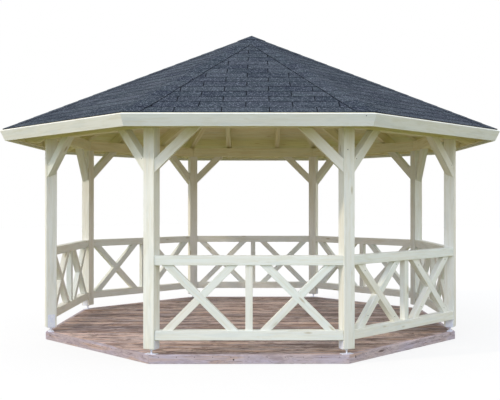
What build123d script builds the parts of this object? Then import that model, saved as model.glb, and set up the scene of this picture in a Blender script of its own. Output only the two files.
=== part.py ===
from build123d import *
import os
from math import cos, radians, sin, tan

# An eight-sided garden gazebo: a low timber deck, eight square posts on adjustable steel feet,
# seven cross-braced railings, an open entrance bay, and a pyramid roof of bitumen shingles.
# All sizes are in millimetres. Z = 0 is the ground under the deck and the origin is at its
# centre. The entrance faces -Y. Heights named "above_deck" start at the walking surface.

SIDES = 8
HALF_SIDE_ANGLE = 180 / SIDES

# Deck
deck_across_flats = 5000
deck_height = 92
rim_thickness = 45
floor_thickness = 28
joist_width = 45
joist_spacing = 600
floor_board_side = 1               # the side that the floor boards run along, counted from the entrance

# Posts and their feet
post_width = 125
post_setback = 60                  # from the corner of the deck to the middle of the post
post_bottom_above_deck = 60
foot_plate_length = 130            # square to the direction of the post
foot_plate_width = 66
foot_plate_thickness = 6
stud_diameter = 20
nut_width = 36
nut_height = 14
bracket_thickness = 4
bracket_width = 88
bracket_top_above_deck = 212

# Ring beams and knee braces
outer_arris_setback = 10           # from the outer corner of a post back to rails, braces, beams
beam_thickness = 120
beam_height = 140
beam_underside_above_deck = 2348
brace_width = 100
brace_thickness = 90
brace_reach = 470

# Railings
rail_depth = 100
rail_height = 100
top_rail_above_deck = 1024
bottom_rail_above_deck = 153       # its underside
stile_width = 75
cross_bar_width = 80
infill_setback = 15

# Roof
roof_pitch = 25
eave_overhang = 478                # from the ring beams out to the top edge of the fascia
rafter_notch = 14                  # of a rafter over the outer edge of a ring beam
fascia_thickness = 20
fascia_height = 130
eave_board_thickness = 20
eave_board_height = 100
shingle_thickness = 8              # of all layers, over the roof boards and the top of the fascia
roof_board_thickness = 18
roof_top_gap = 40                  # from the axis to the tips of the boards and shingles
rafter_width = 75
rafter_depth = 145
jack_rafter_offset = 405           # from the middle of a side
hub_across_flats = 190
hub_drop = 40                      # of the hub below the hip rafters
hip_cap_reach = 165                # of a cap on each side of its hip, in plan
hip_cap_thickness = 4
apex_cap_radius = 190

# Derived values
deck_apothem = deck_across_flats / 2
deck_corner_radius = deck_apothem / cos(radians(HALF_SIDE_ANGLE))
post_radius = deck_corner_radius - post_setback
post_bottom = deck_height + post_bottom_above_deck
beam_underside = deck_height + beam_underside_above_deck
beam_top = beam_underside + beam_height
post_apothem = post_radius * cos(radians(HALF_SIDE_ANGLE))
arris_reach = post_width / 2 * (cos(radians(HALF_SIDE_ANGLE)) + sin(radians(HALF_SIDE_ANGLE)))
frame_outer = post_apothem + arris_reach - outer_arris_setback
top_rail_top = deck_height + top_rail_above_deck
top_rail_underside = top_rail_top - rail_height
bottom_rail_underside = deck_height + bottom_rail_above_deck
bottom_rail_top = bottom_rail_underside + rail_height
pitch_sin = sin(radians(roof_pitch))
pitch_cos = cos(radians(roof_pitch))
pitch_tan = tan(radians(roof_pitch))
shingle_start = fascia_thickness + eave_board_thickness
rafter_bottom_depth = roof_board_thickness + rafter_depth
cap_top_depth = -shingle_thickness - hip_cap_thickness
eave_apothem = frame_outer + eave_overhang
eave_height = beam_top - rafter_notch + rafter_bottom_depth / pitch_cos - eave_overhang * pitch_tan
wedge_reach = deck_across_flats

SIDE_NAMES = ["front", "front_right", "right", "back_right", "back", "back_left", "left", "front_left"]
POST_NAMES = ["front_right", "right_front", "right_back", "back_right",
              "back_left", "left_back", "left_front", "front_left"]
ENTRANCE = "front"


# Helpers. A piece is drawn on the front side, facing -Y, or on the front corner direction -Y, and is
# then turned about Z to its place.

def turned(shape, angle):
    """The shape turned about the Z axis."""
    return shape.rotate(Axis.Z, angle)


def side_angle(index):
    """How far side number index is turned from the front side."""
    return index * 360 / SIDES


def post_angle(index):
    """How far post number index is turned from -Y."""
    return HALF_SIDE_ANGLE + side_angle(index)


def plan_prism(points, bottom, top):
    """A plan outline raised from one height to another."""
    outline = make_face(Polyline(*points, close=True))
    return Pos(0, 0, bottom) * extrude(outline, top - bottom, dir=(0, 0, 1))


def along_side(points, start, end):
    """An upright outline of (distance out from the axis, height) drawn along X from start to end."""
    outline = make_face(Polyline(*[(start, -out, height) for out, height in points], close=True))
    return extrude(outline, end - start, dir=(1, 0, 0))


def reach_at(out, offset):
    """Half the length of a side at a distance out, less an offset square to the corner direction."""
    angle = radians(HALF_SIDE_ANGLE)
    return (out * sin(angle) - offset) / cos(angle)


def bay_bar(outer, inner, bottom, top, offset):
    """A bar along a side whose ends are cut parallel to the corner directions."""
    far, near = reach_at(outer, offset), reach_at(inner, offset)
    return plan_prism([(-far, -outer), (far, -outer), (near, -inner), (-near, -inner)], bottom, top)


def bay_wedge(offset):
    """All of the space over one side, up to an offset from the two corner directions."""
    far = reach_at(wedge_reach, offset)
    tip = offset / sin(radians(HALF_SIDE_ANGLE))
    return plan_prism([(-far, -wedge_reach), (far, -wedge_reach), (0, -tip)], 0, wedge_reach)


def octagon(apothem, bottom, top):
    """An octagonal block with a flat side to the front."""
    prism = extrude(RegularPolygon(apothem, SIDES, major_radius=False, rotation=HALF_SIDE_ANGLE), top - bottom)
    return Pos(0, 0, bottom) * prism


def slope_point(up, depth):
    """A point of the roof as (out, height): up the slope from the eave, and square in from its face."""
    out = eave_apothem - up * pitch_cos - depth * pitch_sin
    height = eave_height + up * pitch_sin - depth * pitch_cos
    return out, height


def height_at(out, depth):
    """Height of the surface that lies depth below the face of the roof, at a distance out."""
    return eave_height + (eave_apothem - out) * pitch_tan - depth / pitch_cos


def slope_layer(start, top_depth, bottom_depth, top_out):
    """One side's layer of the roof from up the slope at start to a distance out from the axis."""
    outline = [slope_point(start, top_depth), slope_point(start, bottom_depth),
               (top_out, height_at(top_out, bottom_depth)), (top_out, height_at(top_out, top_depth))]
    reach = eave_apothem
    return along_side(outline, -reach, reach) & bay_wedge(0)


def slope_board(start, end, top_depth, bottom_depth):
    """A board along the eave, square to the slope, mitred at the hips."""
    outline = [slope_point(start, top_depth), slope_point(start, bottom_depth),
               slope_point(end, bottom_depth), slope_point(end, top_depth)]
    return along_side(outline, -eave_apothem, eave_apothem) & bay_wedge(0)


def under_boards_space():
    """The space under the roof boards of one side, from the axis out to the back of the eave board."""
    eave_back_top = slope_point(shingle_start, 0)
    depth_to_ground = eave_back_top[1] / pitch_cos
    outline = [(0, 0), slope_point(shingle_start, depth_to_ground),
               slope_point(shingle_start, roof_board_thickness), (0, height_at(0, roof_board_thickness))]
    return along_side(outline, -eave_apothem, eave_apothem)


def joined(shapes):
    """Pieces fused into one solid."""
    return shapes[0].fuse(*shapes[1:]).clean()


def write_node(name, *solids):
    """Write one node, as one solid or as several that don't touch."""
    shape = solids[0] if len(solids) == 1 else Compound(children=list(solids))
    shape.label = name
    export_step(shape, f"parts/{name}.step")


def write_by_turns(name, piece):
    """Write a mitred piece of all eight sides as two nodes of alternate sides, which don't touch."""
    groups = {"square_sides": range(0, SIDES, 2), "corner_sides": range(1, SIDES, 2)}
    for group, indices in groups.items():
        write_node(f"{name}_{group}", *[turned(piece, side_angle(index)) for index in indices])


# Deck

def deck_rim_board():
    """One mitred edge board of the deck."""
    return bay_bar(deck_apothem, deck_apothem - rim_thickness, 0, deck_height, 0)


def deck_floor():
    """The floor boards as one slab, flush with the top of the rim."""
    return octagon(deck_apothem - rim_thickness, deck_height - floor_thickness, deck_height)


def deck_joists():
    """Joists square to the floor boards, from rim to rim under the floor."""
    joist_height = deck_height - floor_thickness
    inside = octagon(deck_apothem - rim_thickness, 0, joist_height)
    count = int(2 * (deck_apothem - rim_thickness) / joist_spacing)
    first = -(count - 1) / 2 * joist_spacing
    middle = Pos(0, 0, joist_height / 2)
    joist = middle * Box(joist_width, deck_across_flats, joist_height)
    joists = [Pos(first + number * joist_spacing, 0, 0) * joist & inside for number in range(count)]
    return [turned(joist, side_angle(floor_board_side)) for joist in joists]


# Frame

def post():
    """A square post with its outer face square to the corner direction."""
    height = beam_underside - post_bottom
    return Pos(0, -post_radius, post_bottom + height / 2) * Box(post_width, post_width, height)


def post_foot():
    """A screw-adjusted steel foot: base plate, stud with its nut, and a bracket that holds the post."""
    bottom_up = (Align.CENTER, Align.CENTER, Align.MIN)
    bracket_outer_width = post_width + 2 * bracket_thickness
    bracket_bottom = post_bottom - bracket_thickness
    cheek_height = deck_height + bracket_top_above_deck - bracket_bottom
    plate = Box(foot_plate_length, foot_plate_width, foot_plate_thickness, align=bottom_up)
    stud = Cylinder(stud_diameter / 2, bracket_bottom - deck_height, align=bottom_up)
    nut = extrude(RegularPolygon(nut_width / 2, 6, major_radius=False), nut_height)
    nut = Pos(0, 0, bracket_bottom - deck_height - nut_height) * nut
    seat = Pos(0, 0, bracket_bottom - deck_height) * Box(bracket_outer_width, bracket_width,
                                                         bracket_thickness, align=bottom_up)
    cheek = Box(bracket_thickness, bracket_width, cheek_height, align=bottom_up)
    cheek_place = (post_width + bracket_thickness) / 2
    cheeks = [Pos(side * cheek_place, 0, bracket_bottom - deck_height) * cheek for side in (-1, 1)]
    return Pos(0, -post_radius, deck_height) * joined([plate, stud, nut, seat, *cheeks])


def ring_beam():
    """A beam that lies on two posts and is mitred to its neighbours over them."""
    return bay_bar(frame_outer, frame_outer - beam_thickness, beam_underside, beam_top, 0)


def knee_braces():
    """The two braces of a bay, at 45 degrees from the sides of its posts to the beam."""
    rise = brace_width / cos(radians(45))
    post_face = -reach_at(frame_outer, post_width / 2)
    foot_height = beam_underside - brace_reach
    beyond = brace_width
    band = [(post_face - beyond, foot_height - beyond),
            (post_face + brace_reach + beyond, beam_underside + beyond),
            (post_face + brace_reach + beyond - rise, beam_underside + beyond),
            (post_face - beyond, foot_height - beyond + rise)]
    outline = make_face(Polyline(*[(x, -frame_outer, z) for x, z in band], close=True))
    bar = extrude(outline, brace_thickness, dir=(0, 1, 0))
    space = bay_bar(frame_outer, frame_outer - brace_thickness, foot_height - beyond, beam_underside,
                    post_width / 2)
    left = bar & space
    return [left, left.mirror(Plane.YZ)]


# Railings

def cross_bar(middle, direction):
    """One bar of a cross, at 45 degrees between the two rails."""
    opening = top_rail_underside - bottom_rail_top
    half_level_width = cross_bar_width / sin(radians(45)) / 2
    low_x = middle - direction * opening / 2
    high_x = middle + direction * opening / 2
    outer = frame_outer - infill_setback
    corners = [(low_x - half_level_width, bottom_rail_top), (low_x + half_level_width, bottom_rail_top),
               (high_x + half_level_width, top_rail_underside), (high_x - half_level_width, top_rail_underside)]
    outline = make_face(Polyline(*[(x, -outer, z) for x, z in corners], close=True))
    return extrude(outline, rail_depth - 2 * infill_setback, dir=(0, 1, 0))


def railing():
    """A railing panel: two rails, a stile between them and a cross on each side of the stile."""
    inner = frame_outer - rail_depth
    top_rail = bay_bar(frame_outer, inner, top_rail_underside, top_rail_top, post_width / 2)
    bottom_rail = bay_bar(frame_outer, inner, bottom_rail_underside, bottom_rail_top,
                          post_width / 2 + bracket_thickness)
    stile_height = top_rail_underside - bottom_rail_top
    stile = Pos(0, -frame_outer + rail_depth / 2, bottom_rail_top + stile_height / 2) * Box(
        stile_width, rail_depth - 2 * infill_setback, stile_height)
    cross_middle = (stile_width / 2 + reach_at(frame_outer, post_width / 2)) / 2
    bars = [cross_bar(side * cross_middle, direction) for side in (-1, 1) for direction in (-1, 1)]
    return joined([top_rail, bottom_rail, stile, *bars])


# Roof

def fascia_board():
    """One mitred outer board of the eave, square to the slope."""
    return slope_board(0, fascia_thickness, 0, fascia_height)


def eave_board():
    """One mitred board behind the fascia, which closes the ends of the rafters."""
    return slope_board(fascia_thickness, shingle_start, 0, eave_board_height)


def shingle_layer():
    """The shingles of one side as a plain layer."""
    return slope_layer(shingle_start, -shingle_thickness, 0, roof_top_gap)


def roof_board_layer():
    """The roof boards of one side as a plain layer."""
    return slope_layer(shingle_start, 0, roof_board_thickness, roof_top_gap)


def beam_notch():
    """The space of a ring beam and all that lies below it, which a rafter is notched for."""
    inner = frame_outer - beam_thickness
    outline = [(inner, 0), (frame_outer, 0), (frame_outer, beam_top), (inner, beam_top)]
    return along_side(outline, -eave_apothem, eave_apothem)


def tail_trim():
    """The space outside the ring beam and below the eave board, where the rafter tails are cut level."""
    level = slope_point(shingle_start, eave_board_height)[1]
    outline = [(frame_outer, 0), (eave_apothem, 0), (eave_apothem, level), (frame_outer, level)]
    return along_side(outline, -eave_apothem, eave_apothem)


def jack_rafters():
    """The two short rafters of a side, from the eave board up to the hip rafters."""
    outline = [slope_point(shingle_start, roof_board_thickness), slope_point(shingle_start, rafter_bottom_depth),
               (0, height_at(0, rafter_bottom_depth)), (0, height_at(0, roof_board_thickness))]
    blank = along_side(outline, -rafter_width / 2, rafter_width / 2) - beam_notch() - tail_trim()
    space = bay_wedge(rafter_width / 2)
    return [Pos(side * jack_rafter_offset, 0, 0) * blank & space for side in (-1, 1)]


def hip_rafter():
    """The rafter over a post, from the corner of the eave to the hub, bevelled to both slopes."""
    hub_face = hub_across_flats / 2
    corner_cos = cos(radians(HALF_SIDE_ANGLE))
    corner_radius = eave_apothem / corner_cos
    underside_peak = height_at(0, rafter_bottom_depth)
    underside_fall = pitch_tan * corner_cos
    roof_peak = height_at(0, 0)
    outline = [(hub_face, roof_peak), (hub_face, underside_peak - hub_face * underside_fall),
               (corner_radius, underside_peak - corner_radius * underside_fall), (corner_radius, roof_peak)]
    blank = along_side(outline, -rafter_width / 2, rafter_width / 2)
    cuts = []
    for angle in (HALF_SIDE_ANGLE, -HALF_SIDE_ANGLE):
        blank = blank & turned(under_boards_space(), angle)
        cuts += [turned(beam_notch(), angle), turned(tail_trim(), angle)]
    return blank.cut(*cuts)


def rafter_hub():
    """The eight-sided block at the top that the hip rafters meet, with a face to each of them."""
    face_out = hub_across_flats / 2
    core_out = hub_across_flats
    bottom = height_at(0, rafter_bottom_depth) - hub_drop
    top = height_at(0, roof_board_thickness)
    outline = [(0, bottom), (core_out, bottom), (core_out, height_at(core_out, roof_board_thickness)), (0, top)]
    segment = along_side(outline, -core_out, core_out) & bay_wedge(0)
    under_boards = joined([turned(segment, side_angle(index)) for index in range(SIDES)])
    return turned(octagon(face_out, bottom, top), HALF_SIDE_ANGLE) & under_boards


def hip_caps():
    """The folded strips over all eight hips, which run together at the top."""
    layer = slope_layer(shingle_start, cap_top_depth, -shingle_thickness, 0)
    legs = layer - bay_wedge(hip_cap_reach)
    return joined([turned(legs, side_angle(index)) for index in range(SIDES)])


def apex_cap():
    """The eight-sided cap over the top of the hips."""
    outline = [(0, height_at(0, cap_top_depth)), (apex_cap_radius, height_at(apex_cap_radius, cap_top_depth)),
               (apex_cap_radius, height_at(apex_cap_radius, cap_top_depth - hip_cap_thickness)),
               (0, height_at(0, cap_top_depth - hip_cap_thickness))]
    segment = along_side(outline, -apex_cap_radius, apex_cap_radius) & bay_wedge(0)
    return joined([turned(segment, side_angle(index)) for index in range(SIDES)])


def build():
    """Write every node of the gazebo."""
    os.makedirs("parts", exist_ok=True)

    write_by_turns("deck_rim", deck_rim_board())
    write_node("deck_floor", deck_floor())
    write_node("deck_joists", *deck_joists())

    post_blank = post()
    for index, name in enumerate(POST_NAMES):
        write_node(f"post_{name}", turned(post_blank, post_angle(index)))
    foot = post_foot()
    write_node("post_feet", *[turned(foot, post_angle(index)) for index in range(SIDES)])

    beam = ring_beam()
    braces = knee_braces()
    for index, name in enumerate(SIDE_NAMES):
        write_node(f"ring_beam_{name}", turned(beam, side_angle(index)))
    write_node("knee_braces", *[turned(brace, side_angle(index)) for index in range(SIDES) for brace in braces])

    panel = railing()
    for index, name in enumerate(SIDE_NAMES):
        if name != ENTRANCE:
            write_node(f"railing_{name}", turned(panel, side_angle(index)))

    hip = hip_rafter()
    jacks = jack_rafters()
    write_node("rafter_hub", rafter_hub())
    write_node("hip_rafters", *[turned(hip, post_angle(index)) for index in range(SIDES)])
    write_node("jack_rafters", *[turned(jack, side_angle(index)) for index in range(SIDES) for jack in jacks])
    write_by_turns("roof_boards", roof_board_layer())
    write_by_turns("eave_boards", eave_board())
    write_by_turns("fascia", fascia_board())
    write_by_turns("shingles", shingle_layer())
    write_node("hip_caps", hip_caps())
    write_node("apex_cap", apex_cap())


build()
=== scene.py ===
from itertools import product
from math import atan2, cos, pi, radians, sin, tan
from random import Random

import bmesh
import bpy
from mathutils import Matrix, Vector


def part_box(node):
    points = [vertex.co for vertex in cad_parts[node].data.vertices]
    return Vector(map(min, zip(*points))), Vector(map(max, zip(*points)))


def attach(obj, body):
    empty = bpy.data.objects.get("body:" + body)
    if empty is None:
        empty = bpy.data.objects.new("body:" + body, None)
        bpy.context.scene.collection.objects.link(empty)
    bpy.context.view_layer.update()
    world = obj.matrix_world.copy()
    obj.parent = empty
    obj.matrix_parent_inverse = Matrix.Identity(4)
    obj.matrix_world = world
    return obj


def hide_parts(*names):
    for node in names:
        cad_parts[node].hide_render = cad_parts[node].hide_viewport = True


# Looks for the octagonal garden gazebo. Lengths are in metres. The entrance faces -Y.
# A piece is drawn on the front side, facing -Y, or on the front corner, and turned about Z.

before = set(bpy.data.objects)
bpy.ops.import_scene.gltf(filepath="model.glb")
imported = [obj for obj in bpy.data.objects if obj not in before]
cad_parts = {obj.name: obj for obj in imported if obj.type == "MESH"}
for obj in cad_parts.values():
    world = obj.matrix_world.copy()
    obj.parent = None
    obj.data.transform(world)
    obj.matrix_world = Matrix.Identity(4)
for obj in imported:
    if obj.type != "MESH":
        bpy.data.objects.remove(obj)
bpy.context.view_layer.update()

SIDES = 8
HALF_SIDE = radians(180 / SIDES)
SIDE_NAMES = ["front", "front_right", "right", "back_right",
              "back", "back_left", "left", "front_left"]
POST_NAMES = ["front_right", "right_front", "right_back", "back_right",
              "back_left", "left_back", "left_front", "front_left"]
ENTRANCE = "front"
GROUPS = {"square_sides": range(0, SIDES, 2), "corner_sides": range(1, SIDES, 2)}

# The start of each piece's random draws. Pieces of one kind count on from theirs.
SEEDS = {"deck_boards": 11, "deck_rim_square_sides": 310, "deck_rim_corner_sides": 151,
         "deck_joists": 22, "posts": 30, "ring_beams": 40, "knee_braces": 50, "foot_brackets": 55,
         "screws": 56, "railings": 60, "rafters": 70, "eave_boards": 80, "fascias": 82,
         "roof_boards": 90, "shingles": 94, "hip_caps": 97, "apex_cap": 98}

# Driving values that the frame's boxes don't give
POST_WIDTH = 0.125
RAIL_HEIGHT = 0.100
STILE_WIDTH = 0.075
CROSS_BAR_WIDTH = 0.080
BRACE_WIDTH = 0.100
INFILL_SETBACK = 0.015
BOARD_SIDE = 1                     # number of the side that the floor boards run along
ROOF_PITCH = radians(25)
FASCIA_THICKNESS = 0.020
SHINGLE_START = 0.040              # up the slope from the outer edge of the fascia
SHINGLE_THICKNESS = 0.008          # of all layers, over the top of the fascia
ROOF_BOARD_THICKNESS = 0.018
HIP_CAP_REACH = 0.165
HIP_CAP_THICKNESS = 0.004
FOOT_PLATE_LENGTH = 0.130          # square to the line from the deck's middle to the post
FOOT_PLATE_WIDTH = 0.066
FOOT_PLATE_THICKNESS = 0.006
STUD_DIAMETER = 0.020
NUT_WIDTH = 0.036
NUT_HEIGHT = 0.014
BRACKET_THICKNESS = 0.004
BRACKET_WIDTH = 0.088
TIMBER_EDGE = 0.003                # softened edge of planed timber
FASCIA_EDGE = 0.002
STEEL_EDGE = 0.001

# Places read from the frame
rim_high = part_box("deck_rim_square_sides")[1]
rim_apothem, deck_top = rim_high.x, rim_high.z
floor_low, floor_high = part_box("deck_floor")
rail_low, rail_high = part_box("railing_back")
rail_outer, rail_inner = rail_high.y, rail_low.y
fascia_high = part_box("fascia_square_sides")[1]
eave_apothem = fascia_high.x
eave_height = fascia_high.z - FASCIA_THICKNESS * sin(ROOF_PITCH)
post_low, post_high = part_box("post_back_right")
post_radius = ((post_low + post_high) / 2).to_2d().length
bracket_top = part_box("post_feet")[1].z


# Geometry

WELD_DISTANCE = 1e-5               # between corners that count as one
FLAT_ANGLE = radians(0.5)          # between faces that count as one
UPRIGHT = 0.9                      # the least rise of a direction that counts as upright
LENGTH_DIGITS = 4                  # to which the lengths of edges are compared
GRAIN_SPREAD = 40                  # how far apart the grain of two members may lie
UP = Vector((0, 0, 1))
ALONG_SIDE = Vector((1, 0, 0))
OUTWARD = Vector((0, -1, 0))
INWARD = Vector((0, 1, 0))


def turn(angle):
    """A turn about the Z axis, in radians."""
    return Matrix.Rotation(angle, 4, "Z")


def group_of(index):
    """The name of the group that holds side number index."""
    return next(group for group, indices in GROUPS.items() if index in indices)


def side_turn(index):
    """The turn from the front side to side number index."""
    return turn(index * 2 * pi / SIDES)


def corner_turn(index):
    """The turn from the direction -Y to post number index."""
    return turn((index + 0.5) * 2 * pi / SIDES)


def height_at(out, depth):
    """Height of the surface that lies depth below the face of the roof, at a distance out."""
    return eave_height + (eave_apothem - out) * tan(ROOF_PITCH) - depth / cos(ROOF_PITCH)


def reach_at(out, offset):
    """Half the length of a side at a distance out, less an offset square to the corner direction."""
    return (out * sin(HALF_SIDE) - offset) / cos(HALF_SIDE)


def clip(polygon, direction, limit):
    """The part of a polygon that reaches no further than a limit along a direction."""
    kept = []
    for start, end in zip(polygon, polygon[1:] + polygon[:1]):
        room_start = limit - start.dot(direction)
        room_end = limit - end.dot(direction)
        if room_start >= 0:
            kept.append(start)
        if room_start * room_end < 0:
            kept.append(start.lerp(end, room_start / (room_start - room_end)))
    return kept


def clip_to_slope(polygon):
    """The part of a polygon between the two hips of the front slope."""
    for side in (-1, 1):
        hip_normal = Vector((side * cos(HALF_SIDE), sin(HALF_SIDE), 0))
        polygon = clip(polygon, hip_normal, 0)
    return polygon


def hull(points):
    """The convex solid round some points, with flat faces."""
    solid = bmesh.new()
    for point in points:
        solid.verts.new(point)
    made = bmesh.ops.convex_hull(solid, input=solid.verts)
    left_over = made["geom_interior"] + made["geom_unused"]
    inside = {vertex for vertex in left_over if isinstance(vertex, bmesh.types.BMVert)}
    bmesh.ops.delete(solid, geom=list(inside), context="VERTS")
    bmesh.ops.dissolve_limit(solid, angle_limit=FLAT_ANGLE, verts=solid.verts, edges=solid.edges)
    return solid


def slab(polygon, thickness):
    """A solid from an outline down by a thickness."""
    return hull(polygon + [point - Vector((0, 0, thickness)) for point in polygon])


def islands(mesh):
    """The separate solids of a mesh, with flat faces."""
    whole = bmesh.new()
    whole.from_mesh(mesh)
    bmesh.ops.remove_doubles(whole, verts=whole.verts, dist=WELD_DISTANCE)
    bmesh.ops.dissolve_limit(whole, angle_limit=FLAT_ANGLE, verts=whole.verts, edges=whole.edges)
    whole.verts.index_update()
    seen = set()
    parts = []
    for first in whole.verts:
        if first.index in seen:
            continue
        seen.add(first.index)
        reached = [first]
        for vertex in reached:
            for edge in vertex.link_edges:
                other = edge.other_vert(vertex)
                if other.index not in seen:
                    seen.add(other.index)
                    reached.append(other)
        part = bmesh.new()
        twins = {vertex.index: part.verts.new(vertex.co) for vertex in reached}
        for face in whole.faces:
            if face.verts[0].index in twins:
                part.faces.new([twins[vertex.index] for vertex in face.verts])
        parts.append(part)
    whole.free()
    return parts


def skin(rings):
    """A solid round rings of points, all with the same number, closed at both ends."""
    solid = bmesh.new()
    rings = [[solid.verts.new(point) for point in ring] for ring in rings]
    for lower, upper in zip(rings, rings[1:]):
        for step in range(len(lower)):
            after = (step + 1) % len(lower)
            solid.faces.new((lower[step], lower[after], upper[after], upper[step]))
    solid.faces.new(rings[0][::-1])
    solid.faces.new(rings[-1])
    return solid


def lathe(profile, sides):
    """A solid of revolution about Z through (radius, height) points."""
    angles = [2 * pi * step / sides for step in range(sides)]
    return skin([[(radius * cos(angle), radius * sin(angle), height) for angle in angles]
                 for radius, height in profile])


def pointing(place, direction):
    """The placing of a piece drawn upright, with its Z axis turned to a direction."""
    return Matrix.Translation(place) @ direction.to_track_quat("Z", "Y").to_matrix().to_4x4()


def longest_edge(solid):
    """The direction of a solid's longest edge, towards the positive side of its main axis."""
    edge = max(solid.edges, key=lambda edge: round(edge.calc_length(), LENGTH_DIGITS))
    direction = (edge.verts[1].co - edge.verts[0].co).normalized()
    return direction if max(direction, key=abs) > 0 else -direction


class Piece:
    """A visible piece, collected from members that each have their own grain and tone."""

    def __init__(self, name, seed):
        self.name = name
        self.random = Random(seed)
        self.points, self.faces, self.grain, self.tones = [], [], [], []

    def add(self, solid, edge=0.0, along=None, tone=None, place=None):
        """Takes in a solid and softens its edges. The grain follows its longest edge, or along."""
        along = longest_edge(solid) if along is None else along
        if edge:
            bmesh.ops.bevel(solid, geom=solid.edges[:], offset=edge, offset_type="OFFSET",
                            segments=1, profile=0.5, affect="EDGES", clamp_overlap=True)
        helper = UP if abs(along.z) < UPRIGHT else INWARD
        across = along.cross(helper).normalized()
        third = along.cross(across)
        shift = Vector([self.random.uniform(-GRAIN_SPREAD, GRAIN_SPREAD) for _ in range(3)])
        tone = self.random.random() if tone is None else tone
        first = len(self.points)
        solid.verts.index_update()
        for vertex in solid.verts:
            co = vertex.co
            self.grain.append(Vector((co.dot(along), co.dot(across), co.dot(third))) + shift)
            self.tones.append(tone)
            self.points.append(place @ co if place else co.copy())
        self.faces += [[first + vertex.index for vertex in face.verts] for face in solid.faces]
        solid.free()

    def finish(self, material, slot, *replaced):
        """Makes the object, which rides on the one body and stands for the named CAD nodes."""
        mesh = bpy.data.meshes.new(self.name)
        mesh.from_pydata(self.points, [], self.faces)
        grain = mesh.attributes.new("grain", "FLOAT_VECTOR", "POINT")
        grain.data.foreach_set("vector", [value for vector in self.grain for value in vector])
        tones = mesh.attributes.new("tone", "FLOAT", "POINT")
        tones.data.foreach_set("value", self.tones)
        mesh.materials.append(material)
        made = bpy.data.objects.new(self.name, mesh)
        bpy.context.scene.collection.objects.link(made)
        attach(made, "root")
        if replaced:
            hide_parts(*replaced)
        return made


def timber_like(node, material, slot, seed, edge=TIMBER_EDGE):
    """A timber piece with the shape of a CAD node, each member with its own grain."""
    piece = Piece(f"timber_{node}", seed)
    for solid in islands(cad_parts[node].data):
        piece.add(solid, edge)
    return piece.finish(material, slot, node)


# Materials

MIX_FACTOR, MIX_FIRST, MIX_SECOND = 0, 6, 7      # the input sockets of a colour mix
MIX_RESULT = 2                                   # and its output
# Lengths in shares of a knot's cell
KNOT_RIM, KNOT_HEART = 0.16, 0.05  # from its middle, where a knot ends and where it is darkest
BEND_REACH = 0.5                   # from its middle, where the grain runs straight again
KNOT_SCATTER = 0.8


def colour(red, green, blue):
    """A colour given in display values from 0 to 255, as the linear values of the shader."""
    def linear(value):
        value /= 255
        return value / 12.92 if value <= 0.04045 else ((value + 0.055) / 1.055) ** 2.4
    return linear(red), linear(green), linear(blue), 1.0


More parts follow.
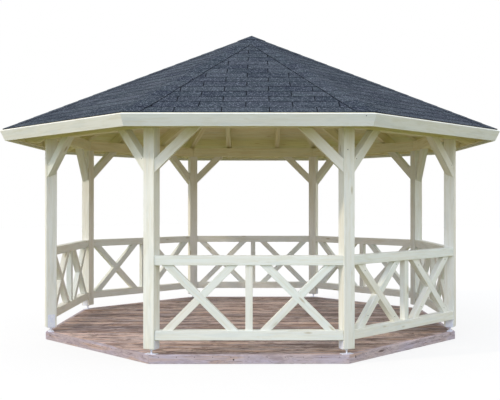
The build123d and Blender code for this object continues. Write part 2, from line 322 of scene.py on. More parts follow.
class Graph:
    """The nodes of a material or of the world, added one at a time."""

    def __init__(self, owner):
        self.owner = owner
        owner.use_nodes = True
        self.tree = owner.node_tree
        self.tree.nodes.clear()

    def add(self, kind, inputs=(), output=0, **settings):
        """Adds a node. An input is a value or another node's socket. Returns one output socket."""
        node = self.tree.nodes.new("ShaderNode" + kind)
        for name, value in settings.items():
            setattr(node, name, value)
        for name, value in dict(inputs).items():
            if isinstance(value, bpy.types.NodeSocket):
                self.tree.links.new(value, node.inputs[name])
            else:
                node.inputs[name].default_value = value
        return node.outputs[output]

    def grain(self, *scale):
        """The grain coordinates of the members, each direction scaled: along, across, through."""
        vector = self.add("Attribute", output="Vector", attribute_name="grain")
        return self.add("VectorMath", {0: vector, 1: scale}, operation="MULTIPLY")

    def across_boards(self, *scale):
        """Coordinates that run on across the floor boards, scaled: along, across, through."""
        place = self.add("TexCoord", output="Object")
        turned = self.add("VectorRotate", {"Vector": place, "Angle": -BOARD_SIDE * 2 * HALF_SIDE},
                          rotation_type="Z_AXIS")
        return self.add("VectorMath", {0: turned, 1: scale}, operation="MULTIPLY")

    def tone(self):
        """The random tone of the member, from 0 to 1, or the mark of bare bitumen and of the painted
        shadow strips.
        """
        return self.add("Attribute", output="Fac", attribute_name="tone")

    def noise(self, vector, scale=1.0, detail=3.0, roughness=0.5, distortion=0.0):
        """Fractal noise, from 0 to 1."""
        return self.add("TexNoise", {"Vector": vector, "Scale": scale, "Detail": detail,
                                     "Roughness": roughness, "Distortion": distortion})

    def math(self, operation, first, second=0.0):
        """One operation of arithmetic on two values."""
        return self.add("Math", {0: first, 1: second}, operation=operation)

    def fade(self, value, low, high, start=0.0, end=1.0):
        """Start where the value is low, end where it is high, and smooth between."""
        return self.add("MapRange", {"Value": value, "From Min": low, "From Max": high,
                                     "To Min": start, "To Max": end},
                        interpolation_type="SMOOTHSTEP")

    def mix(self, factor, first, second, blend="MIX"):
        """The first colour where the factor is 0, and the second laid over it where it is 1."""
        return self.add("Mix", {MIX_FACTOR: factor, MIX_FIRST: first, MIX_SECOND: second},
                        output=MIX_RESULT, data_type="RGBA", blend_type=blend)

    def layers(self, base, *rows, blend="MIX"):
        """Lays colours over a base, each as its pattern goes from low to high, up to a share."""
        for pattern, low, high, share, tint in rows:
            base = self.mix(self.fade(pattern, low, high, 0.0, share), base, tint, blend)
        return base

    def swirling_knots(self, length, width, share, bend):
        """How much of a knot is here, and the bend of the grain. A share of the cells has a knot."""
        cells = self.grain(1 / length, 1 / width, 1 / width)
        distance = self.add("TexVoronoi", {"Vector": cells, "Scale": 1.0,
                                           "Randomness": KNOT_SCATTER}, output="Distance")
        near = self.fade(distance, KNOT_RIM, KNOT_HEART)
        pick = self.add("SeparateColor", {0: distance.node.outputs["Color"]})
        knot = self.math("MULTIPLY", near, self.math("LESS_THAN", pick, share))
        aside = self.math("MULTIPLY", self.fade(distance, BEND_REACH, 0.0), bend)
        return knot, self.add("CombineXYZ", {"Y": aside})

    def finish(self, shader, kind="OutputMaterial"):
        """Joins the shader to the output, and returns the material or the world."""
        output = self.tree.nodes.new("ShaderNode" + kind)
        self.tree.links.new(shader, output.inputs["Surface"])
        return self.owner

    def surface(self, base, roughness, **values):
        """The finished material."""
        inputs = {"Base Color": base, "Roughness": roughness, **values}
        return self.finish(self.add("BsdfPrincipled", inputs))

    def bump(self, height, distance):
        """The normal of a surface whose height varies by up to a distance."""
        return self.add("Bump", {"Height": height, "Distance": distance})


COOL_GLAZE = colour(168, 188, 206)
WARM_GLAZE = colour(206, 196, 150)


def glazed_timber(name, warm, cool, stain, knot, streak_depth, knot_depth):
    """Planed softwood under a translucent pale glaze, whose grain and knots show faintly through."""
    graph = Graph(bpy.data.materials.new(name))
    knots, swirl = graph.swirling_knots(length=0.42, width=0.11, share=0.55, bend=1.6)
    lines = graph.add("VectorMath", {0: graph.grain(1.6, 38, 38), 1: swirl}, operation="ADD")
    streaks = graph.noise(lines, detail=5, roughness=0.62, distortion=0.6)
    patches = graph.noise(graph.grain(0.9, 5, 5), detail=2)
    thin_glaze = graph.noise(graph.grain(3.5, 22, 22), detail=3, distortion=0.4)
    thick_glaze = graph.noise(graph.grain(2.2, 14, 14), detail=3, distortion=0.4)
    base = graph.layers(graph.mix(graph.tone(), cool, warm), (patches, 0.35, 0.7, 0.5, warm))
    base = graph.layers(base,
                        (thick_glaze, 0.5, 0.68, 0.12, COOL_GLAZE),
                        (thin_glaze, 0.5, 0.68, 0.14, WARM_GLAZE), blend="MULTIPLY")
    base = graph.layers(base, (streaks, 0.44, 0.72, streak_depth, stain))
    base = graph.mix(graph.math("MULTIPLY", knots, knot_depth), base, knot)
    rough = graph.fade(streaks, 0.3, 0.7, 0.5, 0.66)
    return graph.surface(base, rough, **{"Specular IOR Level": 0.35,
                                         "Normal": graph.bump(streaks, 0.0006)})


def deck_timber(name, light, dark, grey, brown, line, grey_share, streak_scale):
    """Impregnated softwood gone grey in patches, with brown streaks, dark pores and damp stains."""
    graph = Graph(bpy.data.materials.new(name))
    knots, swirl = graph.swirling_knots(length=0.5, width=0.12, share=0.5, bend=2.0)
    lines = graph.add("VectorMath", {0: graph.grain(*streak_scale), 1: swirl}, operation="ADD")
    streaks = graph.noise(lines, detail=6, roughness=0.65, distortion=1.2)
    fine_lines = graph.add("VectorMath", {0: graph.grain(4.5, 70, 70), 1: swirl}, operation="ADD")
    pores = graph.noise(fine_lines, detail=4, roughness=0.7, distortion=1.2)
    patches = graph.noise(graph.grain(1.6, 7, 7), detail=3, distortion=0.5)
    stains = graph.noise(graph.grain(1.1, 11, 11), detail=4, distortion=1.0)
    damp = graph.noise(graph.across_boards(2.6, 8, 8), detail=4, roughness=0.6, distortion=1.4)
    base = graph.layers(graph.mix(graph.tone(), dark, light),
                        (patches, 0.38, 0.62, grey_share, grey),
                        (stains, 0.5, 0.66, 0.6, brown),
                        (streaks, 0.44, 0.3, 0.6, light),
                        (streaks, 0.5, 0.62, 0.85, dark),
                        (damp, 0.52, 0.66, 0.65, dark),
                        (damp, 0.46, 0.34, 0.35, light),
                        (pores, 0.54, 0.68, 0.8, line))
    base = graph.mix(graph.math("MULTIPLY", knots, 0.85), base, line)
    rough = graph.fade(streaks, 0.3, 0.7, 0.55, 0.8)
    return graph.surface(base, rough, **{"Specular IOR Level": 0.3,
                                         "Normal": graph.bump(streaks, 0.0012)})


BITUMEN_AND_SHADOW_TONE = -1.0                   # marks the bare bitumen under the slots, and the dark strips of painted shadow at the courses' and caps' edges
CUT_EDGE_RISE = 0.6                # under which a normal's rise shows a cut edge
CUT_EDGE_BARE = 0.3                # how much of the bitumen shows at a cut edge


def shingle_granules():
    """Slate-blue mineral granules on bitumen, with a tone for each tab, bare cut edges, and the dark
    of painted shadow strips.
    """
    graph = Graph(bpy.data.materials.new("shingle_granules"))
    place = graph.grain(1, 1, 1)
    grains = graph.add("TexVoronoi", {"Vector": place, "Scale": 110.0}, output="Color")
    grain_tone = graph.add("SeparateColor", {0: grains})
    clumps = graph.noise(place, 60, detail=4, roughness=0.75)
    patches = graph.noise(place, 2.2, detail=3)
    bands = graph.noise(graph.grain(1.3, 16, 16), detail=3)
    tone = graph.tone()
    dark_tab, light_tab = colour(48, 55, 69), colour(79, 86, 96)
    weathered, clump = colour(56, 68, 74), colour(34, 38, 50)
    dark_band, light_band = colour(38, 42, 56), colour(80, 92, 98)
    dark_granule, light_granule = colour(28, 33, 44), colour(128, 137, 150)
    base = graph.layers(graph.mix(tone, dark_tab, light_tab),
                        (patches, 0.35, 0.65, 0.5, weathered),
                        (bands, 0.52, 0.68, 0.5, light_band),
                        (bands, 0.46, 0.32, 0.45, dark_band),
                        (clumps, 0.45, 0.68, 0.5, clump),
                        (grain_tone, 0.3, 0.05, 0.6, dark_granule),
                        (grain_tone, 0.76, 0.98, 0.7, light_granule))
    normal = graph.add("NewGeometry", output="True Normal")
    rise = graph.add("SeparateXYZ", {0: normal}, output="Z")
    cut_edge = graph.math("MULTIPLY", graph.math("LESS_THAN", rise, CUT_EDGE_RISE), CUT_EDGE_BARE)
    # The dark bitumen colour goes on cut edges and on the felt, and also on the strips that paint
    # shadow along course and cap edges.
    bitumen_and_shadow = graph.math("LESS_THAN", tone, BITUMEN_AND_SHADOW_TONE / 2)
    base = graph.mix(graph.math("MAXIMUM", cut_edge, bitumen_and_shadow), base, colour(17, 20, 27))
    return graph.surface(base, 0.96, **{"Specular IOR Level": 0.06,
                                        "Normal": graph.bump(clumps, 0.0015)})


def galvanised_steel():
    """Hot-dip galvanised steel with a faint spangle."""
    graph = Graph(bpy.data.materials.new("galvanised_steel"))
    place = graph.grain(1, 1, 1)
    crystals = graph.add("TexVoronoi", {"Vector": place, "Scale": 90.0}, output="Color")
    spangle = graph.add("SeparateColor", {0: crystals})
    dulled = graph.noise(place, 22, detail=3)
    base = graph.mix(spangle, colour(236, 239, 253), colour(249, 250, 255))
    base = graph.layers(base, (dulled, 0.45, 0.7, 0.5, colour(226, 230, 248)))
    rough = graph.fade(spangle, 0.0, 1.0, 0.42, 0.56)
    return graph.surface(base, rough, **{"Metallic": 0.1})


def screw_steel():
    """Dull dark heads of screws."""
    graph = Graph(bpy.data.materials.new("screw_steel"))
    specks = graph.noise(graph.grain(400, 400, 400), detail=2)
    base = graph.mix(specks, colour(52, 52, 50), colour(88, 88, 84))
    return graph.surface(base, 0.5, **{"Metallic": 0.6})


painted = glazed_timber("painted_timber", warm=colour(244, 242, 233), cool=colour(236, 243, 239),
                        stain=colour(226, 220, 198), knot=colour(182, 170, 138),
                        streak_depth=0.45, knot_depth=0.7)
fascia_paint = glazed_timber("fascia_paint", warm=colour(243, 244, 241), cool=colour(237, 243, 244),
                             stain=colour(225, 222, 211), knot=colour(196, 190, 170),
                             streak_depth=0.4, knot_depth=0.3)
# A yellower copy of the posts' paint for the parts under the roof: its colour paints in the olive
# shade under the eaves.
shade_tinted_paint = glazed_timber("shade_tinted_paint", warm=colour(248, 241, 212), cool=colour(242, 243, 217),
                            stain=colour(222, 206, 160), knot=colour(186, 154, 104),
                            streak_depth=0.5, knot_depth=0.5)
decking = deck_timber("decking", light=colour(244, 215, 203), dark=colour(112, 91, 88),
                      grey=colour(200, 188, 194), brown=colour(208, 165, 134),
                      line=colour(70, 56, 53), grey_share=0.6, streak_scale=(3.0, 12, 12))
rim_timber = deck_timber("rim_timber", light=colour(214, 198, 198), dark=colour(168, 152, 158),
                         grey=colour(198, 190, 208), brown=colour(200, 166, 140),
                         line=colour(100, 80, 76), grey_share=0.7, streak_scale=(2.6, 24, 24))
shingle = shingle_granules()
steel = galvanised_steel()
screw_metal = screw_steel()


# Deck

BOARD_COUNT = 41
BOARD_GAPS = 0.002, 0.007          # the least and the widest


def deck_boards():
    """Floor boards parallel to one side, cut to the octagon inside the rim."""
    piece = Piece("deck_boards", SEEDS["deck_boards"])
    place = side_turn(BOARD_SIDE)
    pitch = (floor_high.y - floor_low.y) / BOARD_COUNT
    reach = floor_high.x - BOARD_GAPS[0] / 2
    for number in range(BOARD_COUNT):
        gap = piece.random.uniform(*BOARD_GAPS)
        near = floor_low.y + number * pitch + gap / 2
        far = near + pitch - gap
        outline = [Vector((x, y, deck_top)) for x, y in ((floor_low.x, near), (floor_high.x, near),
                                                          (floor_high.x, far), (floor_low.x, far))]
        for index in range(SIDES):
            outline = clip(outline, side_turn(index) @ OUTWARD, reach)
        piece.add(slab(outline, deck_top - floor_low.z), TIMBER_EDGE, along=ALONG_SIDE, place=place)
    return piece.finish(decking, "deck_timber", "deck_floor")


deck_boards()
for group in GROUPS:
    timber_like(f"deck_rim_{group}", rim_timber, "deck_timber", SEEDS[f"deck_rim_{group}"])
timber_like("deck_joists", rim_timber, "deck_timber", SEEDS["deck_joists"])


# Frame

for index, name in enumerate(POST_NAMES):
    timber_like(f"post_{name}", painted, "painted_timber", SEEDS["posts"] + index)
for index, name in enumerate(SIDE_NAMES):
    # The ring beams take the shade-tinted copy of the paint, with painted shade in its colour.
    timber_like(f"ring_beam_{name}", shade_tinted_paint, "painted_timber", SEEDS["ring_beams"] + index)
timber_like("knee_braces", painted, "painted_timber", SEEDS["knee_braces"])


# Railings

lower_rail_half = max(vertex.co.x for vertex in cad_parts["railing_back"].data.vertices
                      if vertex.co.z < rail_low.z + RAIL_HEIGHT / 2)
lower_rail_offset = rail_outer * sin(HALF_SIDE) - lower_rail_half * cos(HALF_SIDE)


def upright_block(outline, outer, inner):
    """A solid from an outline that stands on the front side, from its outer to its inner face."""
    return hull([Vector((point.x, -out, point.z)) for point in outline for out in (outer, inner)])


def bay_middles():
    """The middles of the two bays of a railing, between its stile and the posts."""
    return [side * (STILE_WIDTH / 2 + reach_at(rail_outer, POST_WIDTH / 2)) / 2 for side in (-1, 1)]


def railing(index, name):
    """Rails cut to the posts, a stile, and two crosses of one bar through and one in halves."""
    piece = Piece(f"timber_railing_{name}", SEEDS["railings"] + index)
    place = side_turn(index)
    bottom, top = rail_low.z, rail_high.z
    for low, offset in ((top - RAIL_HEIGHT, POST_WIDTH / 2), (bottom, lower_rail_offset)):
        ends = [(side * reach_at(out, offset), out)
                for out in (rail_outer, rail_inner) for side in (-1, 1)]
        rail = hull([Vector((x, -out, z)) for x, out in ends for z in (low, low + RAIL_HEIGHT)])
        piece.add(rail, TIMBER_EDGE, place=place)
    low, high = bottom + RAIL_HEIGHT, top - RAIL_HEIGHT
    outer, inner = rail_outer - INFILL_SETBACK, rail_inner + INFILL_SETBACK
    half_stile = STILE_WIDTH / 2
    stile = [Vector((x, 0, z)) for x, z in ((-half_stile, low), (half_stile, low),
                                            (half_stile, high), (-half_stile, high))]
    piece.add(upright_block(stile, outer, inner), TIMBER_EDGE, along=UP, place=place)
    opening = high - low
    half_width = CROSS_BAR_WIDTH / sin(radians(45)) / 2
    for middle in bay_middles():
        through = [Vector((middle + opening / 2 + side * half_width, 0, low)) for side in (-1, 1)]
        through += [Vector((middle - opening / 2 + side * half_width, 0, high)) for side in (1, -1)]
        piece.add(upright_block(through, outer, inner), TIMBER_EDGE, place=place)
        mirrored = [Vector((2 * middle - point.x, 0, point.z)) for point in through]
        centre = Vector((middle, 0, (low + high) / 2))
        for direction in (Vector((1, 0, 1)).normalized(), Vector((-1, 0, -1)).normalized()):
            half = clip(mirrored, -direction, -centre.dot(direction) - CROSS_BAR_WIDTH / 2)
            piece.add(upright_block(half, outer, inner), TIMBER_EDGE, place=place)
    return piece.finish(painted, "painted_timber", f"railing_{name}")


for index, name in enumerate(SIDE_NAMES):
    if name != ENTRANCE:
        railing(index, name)


# Roof

# The rafters and eave boards take the shade-tinted copy of the paint, with painted shade in its
# colour.
for node in ("hip_rafters", "jack_rafters", "rafter_hub"):
    timber_like(node, shade_tinted_paint, "painted_timber", SEEDS["rafters"])
for order, group in enumerate(GROUPS):
    timber_like(f"eave_boards_{group}", shade_tinted_paint, "painted_timber", SEEDS["eave_boards"] + order)
    timber_like(f"fascia_{group}", fascia_paint, "painted_timber", SEEDS["fascias"] + order,
                FASCIA_EDGE)

ROOF_BOARD_PITCH = 0.098
SOFFIT_GROOVE = 0.0035
ROOF_TOP_GAP = 0.040               # in plan, from the peak to the upper edge of the boards
slope_length = (eave_apothem - ROOF_TOP_GAP) / cos(ROOF_PITCH)


def slope_strip(start, end, start_depth, end_depth):
    """A level strip of the front slope, between two distances up it, each at its own depth."""
    near_out = eave_apothem - start * cos(ROOF_PITCH)
    far_out = eave_apothem - end * cos(ROOF_PITCH)
    near, far = height_at(near_out, start_depth), height_at(far_out, end_depth)
    return [Vector((-eave_apothem, -near_out, near)), Vector((eave_apothem, -near_out, near)),
            Vector((eave_apothem, -far_out, far)), Vector((-eave_apothem, -far_out, far))]


def roof_boards(group, seed):
    """The tongue-and-groove boards of every other slope, grooved where they meet below."""
    piece = Piece(f"roof_boards_laid_{group}", seed)
    count = round((slope_length - SHINGLE_START) / ROOF_BOARD_PITCH)
    pitch = (slope_length - SHINGLE_START) / count
    for index in GROUPS[group]:
        for number in range(count):
            start = SHINGLE_START + number * pitch
            outline = clip_to_slope(slope_strip(start, start + pitch, 0, 0))
            board = slab(outline, ROOF_BOARD_THICKNESS / cos(ROOF_PITCH))
            piece.add(board, SOFFIT_GROOVE, along=ALONG_SIDE, place=side_turn(index))
    # The roof boards take the shade-tinted copy of the paint, with painted shade in its colour.
    return piece.finish(shade_tinted_paint, "painted_timber", f"roof_boards_{group}")


COURSE_EXPOSURE = 0.1805
FIRST_COURSE = 0.142               # exposure of the first course, without its lap over the eave
EAVE_LAP = 0.007                   # how far the first course reaches past the solid's edge
TAB_WIDTH = 0.468
SLOT_WIDTH = 0.010
FIRST_SLOT = 0.205                 # from the middle of a side to a slot of the first course
COURSE_LAP = 0.02                  # of a course under the next one
TAB_THICKNESS = 0.0026
TAB_TOP_DEPTH = -0.0056            # of the upper end of a tab, under the next course
FELT_DEPTH = -0.0018
STARTER_WIDTH = 0.10
STARTER_DEPTH = -0.0045
COURSE_SHADOW_BAND = 0.006                # of a dark strip below the edge of a course, painted shadow of the step
COURSE_SHADOW_DEPTH = -0.0064
lowest_start = SHINGLE_START - EAVE_LAP
lowest_out = eave_apothem - lowest_start * cos(ROOF_PITCH)


def tabs(course, start, end):
    """The outlines of a course's tabs on the front slope, between slots and cut at the hips."""
    strip = slope_strip(start, end, -SHINGLE_THICKNESS, TAB_TOP_DEPTH)
    shift = FIRST_SLOT + (course % 2) * TAB_WIDTH / 2
    first = int((-eave_apothem - shift) / TAB_WIDTH)
    for number in range(first, -first):
        left = shift + number * TAB_WIDTH + SLOT_WIDTH / 2
        right = left + TAB_WIDTH - SLOT_WIDTH
        tab = clip_to_slope(clip(clip(strip, -ALONG_SIDE, -left), ALONG_SIDE, right))
        if len(tab) > 2:
            yield tab


def shingles(group, seed):
    """Courses of slotted shingles, each raised at its lower edge by the course below."""
    piece = Piece(f"shingle_courses_{group}", seed)
    for index in GROUPS[group]:
        place = side_turn(index)
        for start, end, depth in ((SHINGLE_START + STARTER_WIDTH / 2, slope_length, FELT_DEPTH),
                                  (lowest_start, SHINGLE_START + STARTER_WIDTH, STARTER_DEPTH)):
            under = clip_to_slope(slope_strip(start, end, depth, depth))
            piece.add(slab(under, -depth / cos(ROOF_PITCH)), tone=BITUMEN_AND_SHADOW_TONE, place=place)
        start, course = lowest_start, 0
        while start < slope_length - COURSE_LAP:
            exposure = COURSE_EXPOSURE if course else FIRST_COURSE + EAVE_LAP
            end = min(start + exposure + COURSE_LAP, slope_length)
            if course:
                # A dark strip just below the course's edge paints the shadow of the step.
                course_shadow = slope_strip(start - COURSE_SHADOW_BAND, start + COURSE_SHADOW_BAND, COURSE_SHADOW_DEPTH, COURSE_SHADOW_DEPTH)
                piece.add(slab(clip_to_slope(course_shadow), TAB_THICKNESS), tone=BITUMEN_AND_SHADOW_TONE, place=place)
            for tab in tabs(course, start, end):
                sheet = slab(tab, TAB_THICKNESS / cos(ROOF_PITCH))
                piece.add(sheet, along=ALONG_SIDE, place=place)
            start += exposure
            course += 1
    return piece.finish(shingle, "roof_shingle", f"shingles_{group}")


for order, group in enumerate(GROUPS):
    roof_boards(group, SEEDS["roof_boards"] + order)
    shingles(group, SEEDS["shingles"] + order)

CAP_LENGTH = 0.18
CAP_LAP = 0.02                     # of a cap under the next one
CAP_SHEET = 0.003
CAP_FAR_DEPTH = -0.0088            # of the upper end of a cap, under the next one
CAP_JAGS = (0.012, 0.003)          # how unevenly the caps were cut, on every other hip
CAP_EDGE_SHADOW = 0.006                  # width of the dark strip of painted shadow beside the caps' edges
APEX_TONE = 0.4


def hip_point(along, beside, depth, side):
    """A point near the hip at the front corner direction -Y, in plan along and beside it."""
    slope_out = along * cos(HALF_SIDE) + beside * sin(HALF_SIDE)
    return Vector((side * beside, -along, height_at(slope_out, depth)))


def hip_strip(near, far, near_depth, inner, outer, side):
    """A strip of one slope beside the hip, within the eave and the middle of the slope."""
    strip = [hip_point(near, inner, near_depth, side), hip_point(near, outer, near_depth, side),
             hip_point(far, outer, CAP_FAR_DEPTH, side), hip_point(far, inner, CAP_FAR_DEPTH, side)]
    strip = clip(strip, Vector((side * sin(HALF_SIDE), -cos(HALF_SIDE), 0)), lowest_out)
    return clip(strip, Vector((side * cos(HALF_SIDE), sin(HALF_SIDE), 0)), 0)


def hip_cap_row():
    """Folded caps up every hip, each lapped over the one below, with a dark strip of painted shadow
    along their edges.
    """
    piece = Piece("hip_cap_shingles", SEEDS["hip_caps"])
    corner = lowest_out / cos(HALF_SIDE)
    count = round(corner / CAP_LENGTH)
    length = corner / count
    near_depth = -SHINGLE_THICKNESS - HIP_CAP_THICKNESS
    for index in range(SIDES):
        for number in range(count):
            near = corner - number * length
            far = max(near - length - CAP_LAP, 0)
            tone = piece.random.random()
            for side in (-1, 1):
                reach = HIP_CAP_REACH - piece.random.uniform(0, CAP_JAGS[index % 2])
                # Each side has the cap itself, then a dark strip that paints the shadow along its
                # edge.
                for inner, outer, depth, shade in (
                        (0, reach, near_depth, tone),
                        (reach - CAP_EDGE_SHADOW, reach + CAP_EDGE_SHADOW, CAP_FAR_DEPTH, BITUMEN_AND_SHADOW_TONE)):
                    strip = hip_strip(near, far, depth, inner, outer, side)
                    if len(strip) > 2:
                        cap = slab(strip, CAP_SHEET / cos(ROOF_PITCH))
                        piece.add(cap, along=INWARD, tone=shade, place=corner_turn(index))
    return piece.finish(shingle, "roof_shingle", "hip_caps")


hip_cap_row()
apex = Piece("apex_cap_shingle", SEEDS["apex_cap"])
for solid in islands(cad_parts["apex_cap"].data):
    apex.add(solid, tone=APEX_TONE)
apex.finish(shingle, "roof_shingle", "apex_cap")


# Feet and fasteners

THREAD_PITCH = 0.0025
THREAD_DEPTH = 0.0012
THREAD_SIDES = 16
THREAD_STEPS = 4                   # rings of points to a turn of the thread
NUT_SIDES = 6
NUT_CHAMFER = 0.0015
SCREW_SIDES = 12
# The outline of a head from its rim to its recess, out and up, as shares of its radius
SCREW_PROFILE = (1, -0.2), (1, 0.12), (0.8, 0.3), (0.45, 0.38), (0.45, 0.1)
SCREW_RADIUS = 0.005
NAIL_RADIUS = 0.0045
NAIL_SPACING = 0.187
NAIL_BELOW_TOP = 0.022
RIM_BOLT_RADIUS = 0.009
# How far a side's bolt is aside from the middle of the rim, and below the top
RIM_BOLTS = {"square_sides": (-0.930, 0.036), "corner_sides": (-0.160, 0.048)}
FASCIA_SCREW_INSET = 0.095         # from the mitre
FASCIA_SCREW_BELOW = 0.020
POST_SCREW_HEIGHT = 2.210
POST_SCREW_ASIDE = 0.018           # from the middle of the post's outer face
# How far the screws are from the corners of a bay, each corner given by its side and its end
BAR_SCREWS = {(-1, -1): 0.120, (1, 1): 0.035, (1, -1): 0.060, (-1, 1): 0.070}
BRACE_SCREW_UP = 0.134             # from the foot of a brace, along it
BRACE_SCREW_ABOVE = 0.028          # its centre line
FACE_TOLERANCE = 0.001             # within which a corner lies on a brace's outer face


def box_points(low, high):
    """The eight corners of a box between two corners."""
    return [Vector(corner) for corner in product(*zip(low, high))]


def threaded_stud(low, high):
    """A stud whose thread winds up round it from one height to another."""
    steps = THREAD_STEPS * round((high - low) / THREAD_PITCH)
    rings = []
    for step in range(steps + 1):
        height = low + (high - low) * step / steps
        ring = []
        for side in range(THREAD_SIDES):
            phase = (step / THREAD_STEPS - side / THREAD_SIDES) % 1
            radius = STUD_DIAMETER / 2 - THREAD_DEPTH * abs(2 * phase - 1)
            angle = 2 * pi * side / THREAD_SIDES
            ring.append((radius * cos(angle), radius * sin(angle), height))
        rings.append(ring)
    return skin(rings)


def foot_brackets():
    """The feet: a plate on the rim, a threaded stud with its nut, and a bracket round the post."""
    piece = Piece("foot_brackets", SEEDS["foot_brackets"])
    plate_top = deck_top + FOOT_PLATE_THICKNESS
    half_length, half_width = FOOT_PLATE_LENGTH / 2, FOOT_PLATE_WIDTH / 2
    seat_top, seat_bottom = post_low.z, post_low.z - BRACKET_THICKNESS
    half_post, half_bracket = POST_WIDTH / 2, BRACKET_WIDTH / 2
    cheek_face = half_post + BRACKET_THICKNESS
    nut_low = seat_bottom - NUT_HEIGHT
    nut_corner = NUT_WIDTH / 2 / cos(pi / NUT_SIDES)
    nut_face = nut_corner - NUT_CHAMFER
    nut_profile = ((nut_face, nut_low), (nut_corner, nut_low + NUT_CHAMFER),
                   (nut_corner, seat_bottom - NUT_CHAMFER), (nut_face, seat_bottom))
    for index in range(SIDES):
        place = corner_turn(index) @ Matrix.Translation((0, -post_radius, 0))
        plate = box_points((-half_length, -half_width, deck_top),
                           (half_length, half_width, plate_top))
        piece.add(hull(plate), STEEL_EDGE, along=UP, place=place)
        piece.add(threaded_stud(plate_top, seat_bottom), along=UP, place=place)
        piece.add(lathe(nut_profile, NUT_SIDES), along=UP, place=place)
        seat = box_points((-cheek_face, -half_bracket, seat_bottom),
                          (cheek_face, half_bracket, seat_top))
        piece.add(hull(seat), STEEL_EDGE, along=UP, place=place)
        for side in (-1, 1):
            cheek = box_points((side * half_post, -half_bracket, seat_bottom),
                               (side * cheek_face, half_bracket, bracket_top))
            piece.add(hull(cheek), STEEL_EDGE, along=UP, place=place)
    return piece.finish(steel, "galvanised_steel", "post_feet")


def drive(piece, place, radius, turned, direction=OUTWARD):
    """Adds a low domed head with a recess, at a place on the front, and turns it to its own side."""
    head = lathe([(radius * out, radius * up) for out, up in SCREW_PROFILE], SCREW_SIDES)
    piece.add(head, along=UP, place=turned @ pointing(place, direction))


def rim_fasteners(piece, index):
    """The nails along the top of one side of the rim, and its bolt."""
    count = int(2 * rim_apothem * tan(HALF_SIDE) / NAIL_SPACING)
    for number in range(count):
        x = (number - (count - 1) / 2) * NAIL_SPACING
        place = Vector((x, -rim_apothem, deck_top - NAIL_BELOW_TOP))
        drive(piece, place, NAIL_RADIUS, side_turn(index))
    x, below = RIM_BOLTS[group_of(index)]
    drive(piece, Vector((x, -rim_apothem, deck_top - below)), RIM_BOLT_RADIUS, side_turn(index))


def fascia_screw(piece, index):
    """The screw beside the mitre at the end of one fascia."""
    place = Vector((eave_apothem * tan(HALF_SIDE) - FASCIA_SCREW_INSET,
                    -eave_apothem + FASCIA_SCREW_BELOW * sin(ROOF_PITCH),
                    eave_height - FASCIA_SCREW_BELOW * cos(ROOF_PITCH)))
    fascia_outward = Vector((0, -cos(ROOF_PITCH), -sin(ROOF_PITCH)))
    drive(piece, place, SCREW_RADIUS, side_turn(index), fascia_outward)


def post_screw(piece, index):
    """The screw near the head of one post."""
    place = Vector((-POST_SCREW_ASIDE, -post_radius - POST_WIDTH / 2, POST_SCREW_HEIGHT))
    drive(piece, place, SCREW_RADIUS, corner_turn(index))


def bar_screws(piece, index):
    """The screws at the ends of the bars of one railing's crosses."""
    half_opening = (rail_high.z - rail_low.z) / 2 - RAIL_HEIGHT
    for middle in bay_middles():
        for (side, end), inset in BAR_SCREWS.items():
            x = middle + side * (half_opening - inset)
            z = (rail_low.z + rail_high.z) / 2 + end * (half_opening - inset)
            drive(piece, Vector((x, INFILL_SETBACK - rail_outer, z)), SCREW_RADIUS, side_turn(index))


def brace_screw(piece, index, corners):
    """The screw near the foot of the knee brace with these corners, on side number index."""
    local = side_turn(index).inverted()
    corners = [local @ corner for corner in corners]
    face_y = min(corner.y for corner in corners)
    face = [corner for corner in corners if corner.y < face_y + FACE_TOLERANCE]
    centre = sum(face, Vector()) / len(face)
    lean = 1 if centre.x < 0 else -1
    along = Vector((lean, 0, 1)).normalized()
    above = Vector((-lean, 0, 1)).normalized()
    lowest = min(corner.z for corner in face)
    foot = centre + along * ((lowest - centre.z) / along.z + BRACE_WIDTH / 2)
    place = foot + along * BRACE_SCREW_UP + above * BRACE_SCREW_ABOVE
    drive(piece, place, SCREW_RADIUS, side_turn(index))


def fasteners():
    """Nails and bolts along the rim, and screw heads on fascias, posts, crosses and braces."""
    piece = Piece("screws", SEEDS["screws"])
    for index, name in enumerate(SIDE_NAMES):
        rim_fasteners(piece, index)
        if group_of(index) == "corner_sides":
            fascia_screw(piece, index)
            continue
        post_screw(piece, index + 1)
        if name != ENTRANCE:
            bar_screws(piece, index)
    for solid in islands(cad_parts["knee_braces"].data):
        corners = [vertex.co for vertex in solid.verts]
        middle = sum(corners, Vector()) / len(corners)
        index = round((atan2(middle.y, middle.x) + pi / 2) / (2 * HALF_SIDE)) % SIDES
        if group_of(index) == "square_sides":
            brace_screw(piece, index, corners)
        solid.free()
    return piece.finish(screw_metal, "galvanised_steel")


foot_brackets()
fasteners()


# Stage

WHITE = (1, 1, 1, 1)
CAMERA_PLACE = (7.4305, -7.2782, 1.6447)
CAMERA_HEADING = 134.69            # degrees
CAMERA_LIFT = 0.323                # degrees above level
CAMERA_LENS = 55.14                # millimetres, on the sensor's width
SENSOR_WIDTH = 36
CAMERA_SHIFT = -0.02725
LAMPS = (                          # azimuth, elevation, strength, spread, colour
    ("sun", -115, 31, 1.2, 3, (1.0, 0.86, 0.66)),
    ("fill", -60, 25, 0.82, 60, (0.49, 0.65, 1.0)))
SKY = (1.03, 1.05, 1.1, 1)         # the light from all round
FLOOR_SIZE = 40                    # from the middle to an edge
FLOOR_PALE = (0.9, 0.9, 0.9, 1)
FLOOR_BOUNCE = (0.23, 0.22, 0.08, 1)
FLOOR_GLOW = 0.8                   # share of the floor's look that takes no shadow


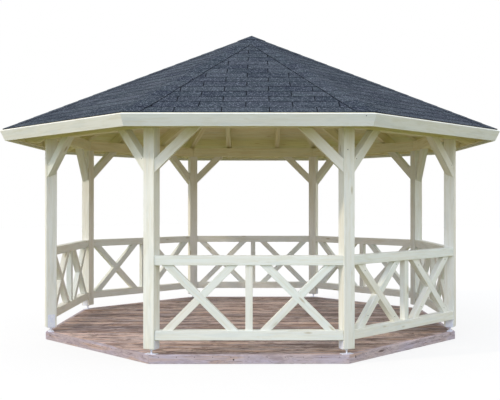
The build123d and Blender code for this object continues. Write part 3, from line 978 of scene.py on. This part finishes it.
def camera():
    """A camera at eye height beyond the front right side."""
    scene = bpy.context.scene
    data = bpy.data.cameras.new("camera")
    data.lens = CAMERA_LENS
    data.sensor_width = SENSOR_WIDTH
    data.shift_x = CAMERA_SHIFT
    holder = bpy.data.objects.new("camera", data)
    holder.location = CAMERA_PLACE
    holder.rotation_euler = (radians(90 + CAMERA_LIFT), 0, radians(CAMERA_HEADING - 90))
    scene.collection.objects.link(holder)
    scene.camera = holder
    scene.view_settings.view_transform = "Standard"


def lamps():
    """A low warm sun and a wide cool light beside it."""
    for name, azimuth, elevation, strength, spread, tint in LAMPS:
        data = bpy.data.lights.new(name, "SUN")
        data.energy = strength
        data.angle = radians(spread)
        data.color = tint
        lamp = bpy.data.objects.new(name, data)
        lamp.rotation_euler = (radians(90 - elevation), 0, radians(azimuth + 90))
        bpy.context.scene.collection.objects.link(lamp)


def backdrop():
    """White to the camera and in reflections, and a mild grey-blue for the light that it gives."""
    graph = Graph(bpy.data.worlds.new("studio"))
    looked_at = graph.add("LightPath", output="Is Camera Ray")
    mirrored = graph.add("LightPath", output="Is Glossy Ray")
    through = graph.add("LightPath", output="Is Transmission Ray")
    seen = graph.math("MAXIMUM", graph.math("MAXIMUM", looked_at, mirrored), through)
    light = graph.add("Background", {"Color": graph.mix(seen, SKY, WHITE)})
    bpy.context.scene.world = graph.finish(light, "OutputWorld")


def floor():
    """A pale floor that keeps a soft shadow."""
    graph = Graph(bpy.data.materials.new("floor"))
    seen = graph.add("LightPath", output="Is Camera Ray")
    pale = graph.add("BsdfDiffuse", {"Color": FLOOR_PALE})
    glow = graph.add("Emission", {"Color": WHITE, "Strength": 1.0})
    looked_at = graph.add("MixShader", {0: FLOOR_GLOW, 1: pale, 2: glow})
    bounced = graph.add("BsdfDiffuse", {"Color": FLOOR_BOUNCE})
    mesh = bpy.data.meshes.new("floor")
    corners = [(-1, -1), (1, -1), (1, 1), (-1, 1)]
    mesh.from_pydata([(x * FLOOR_SIZE, y * FLOOR_SIZE, 0) for x, y in corners], [], [(0, 1, 2, 3)])
    mesh.materials.append(graph.finish(graph.add("MixShader", {0: seen, 1: bounced, 2: looked_at})))
    ground = bpy.data.objects.new("floor", mesh)
    bpy.context.scene.collection.objects.link(ground)


camera()
lamps()
backdrop()
floor()
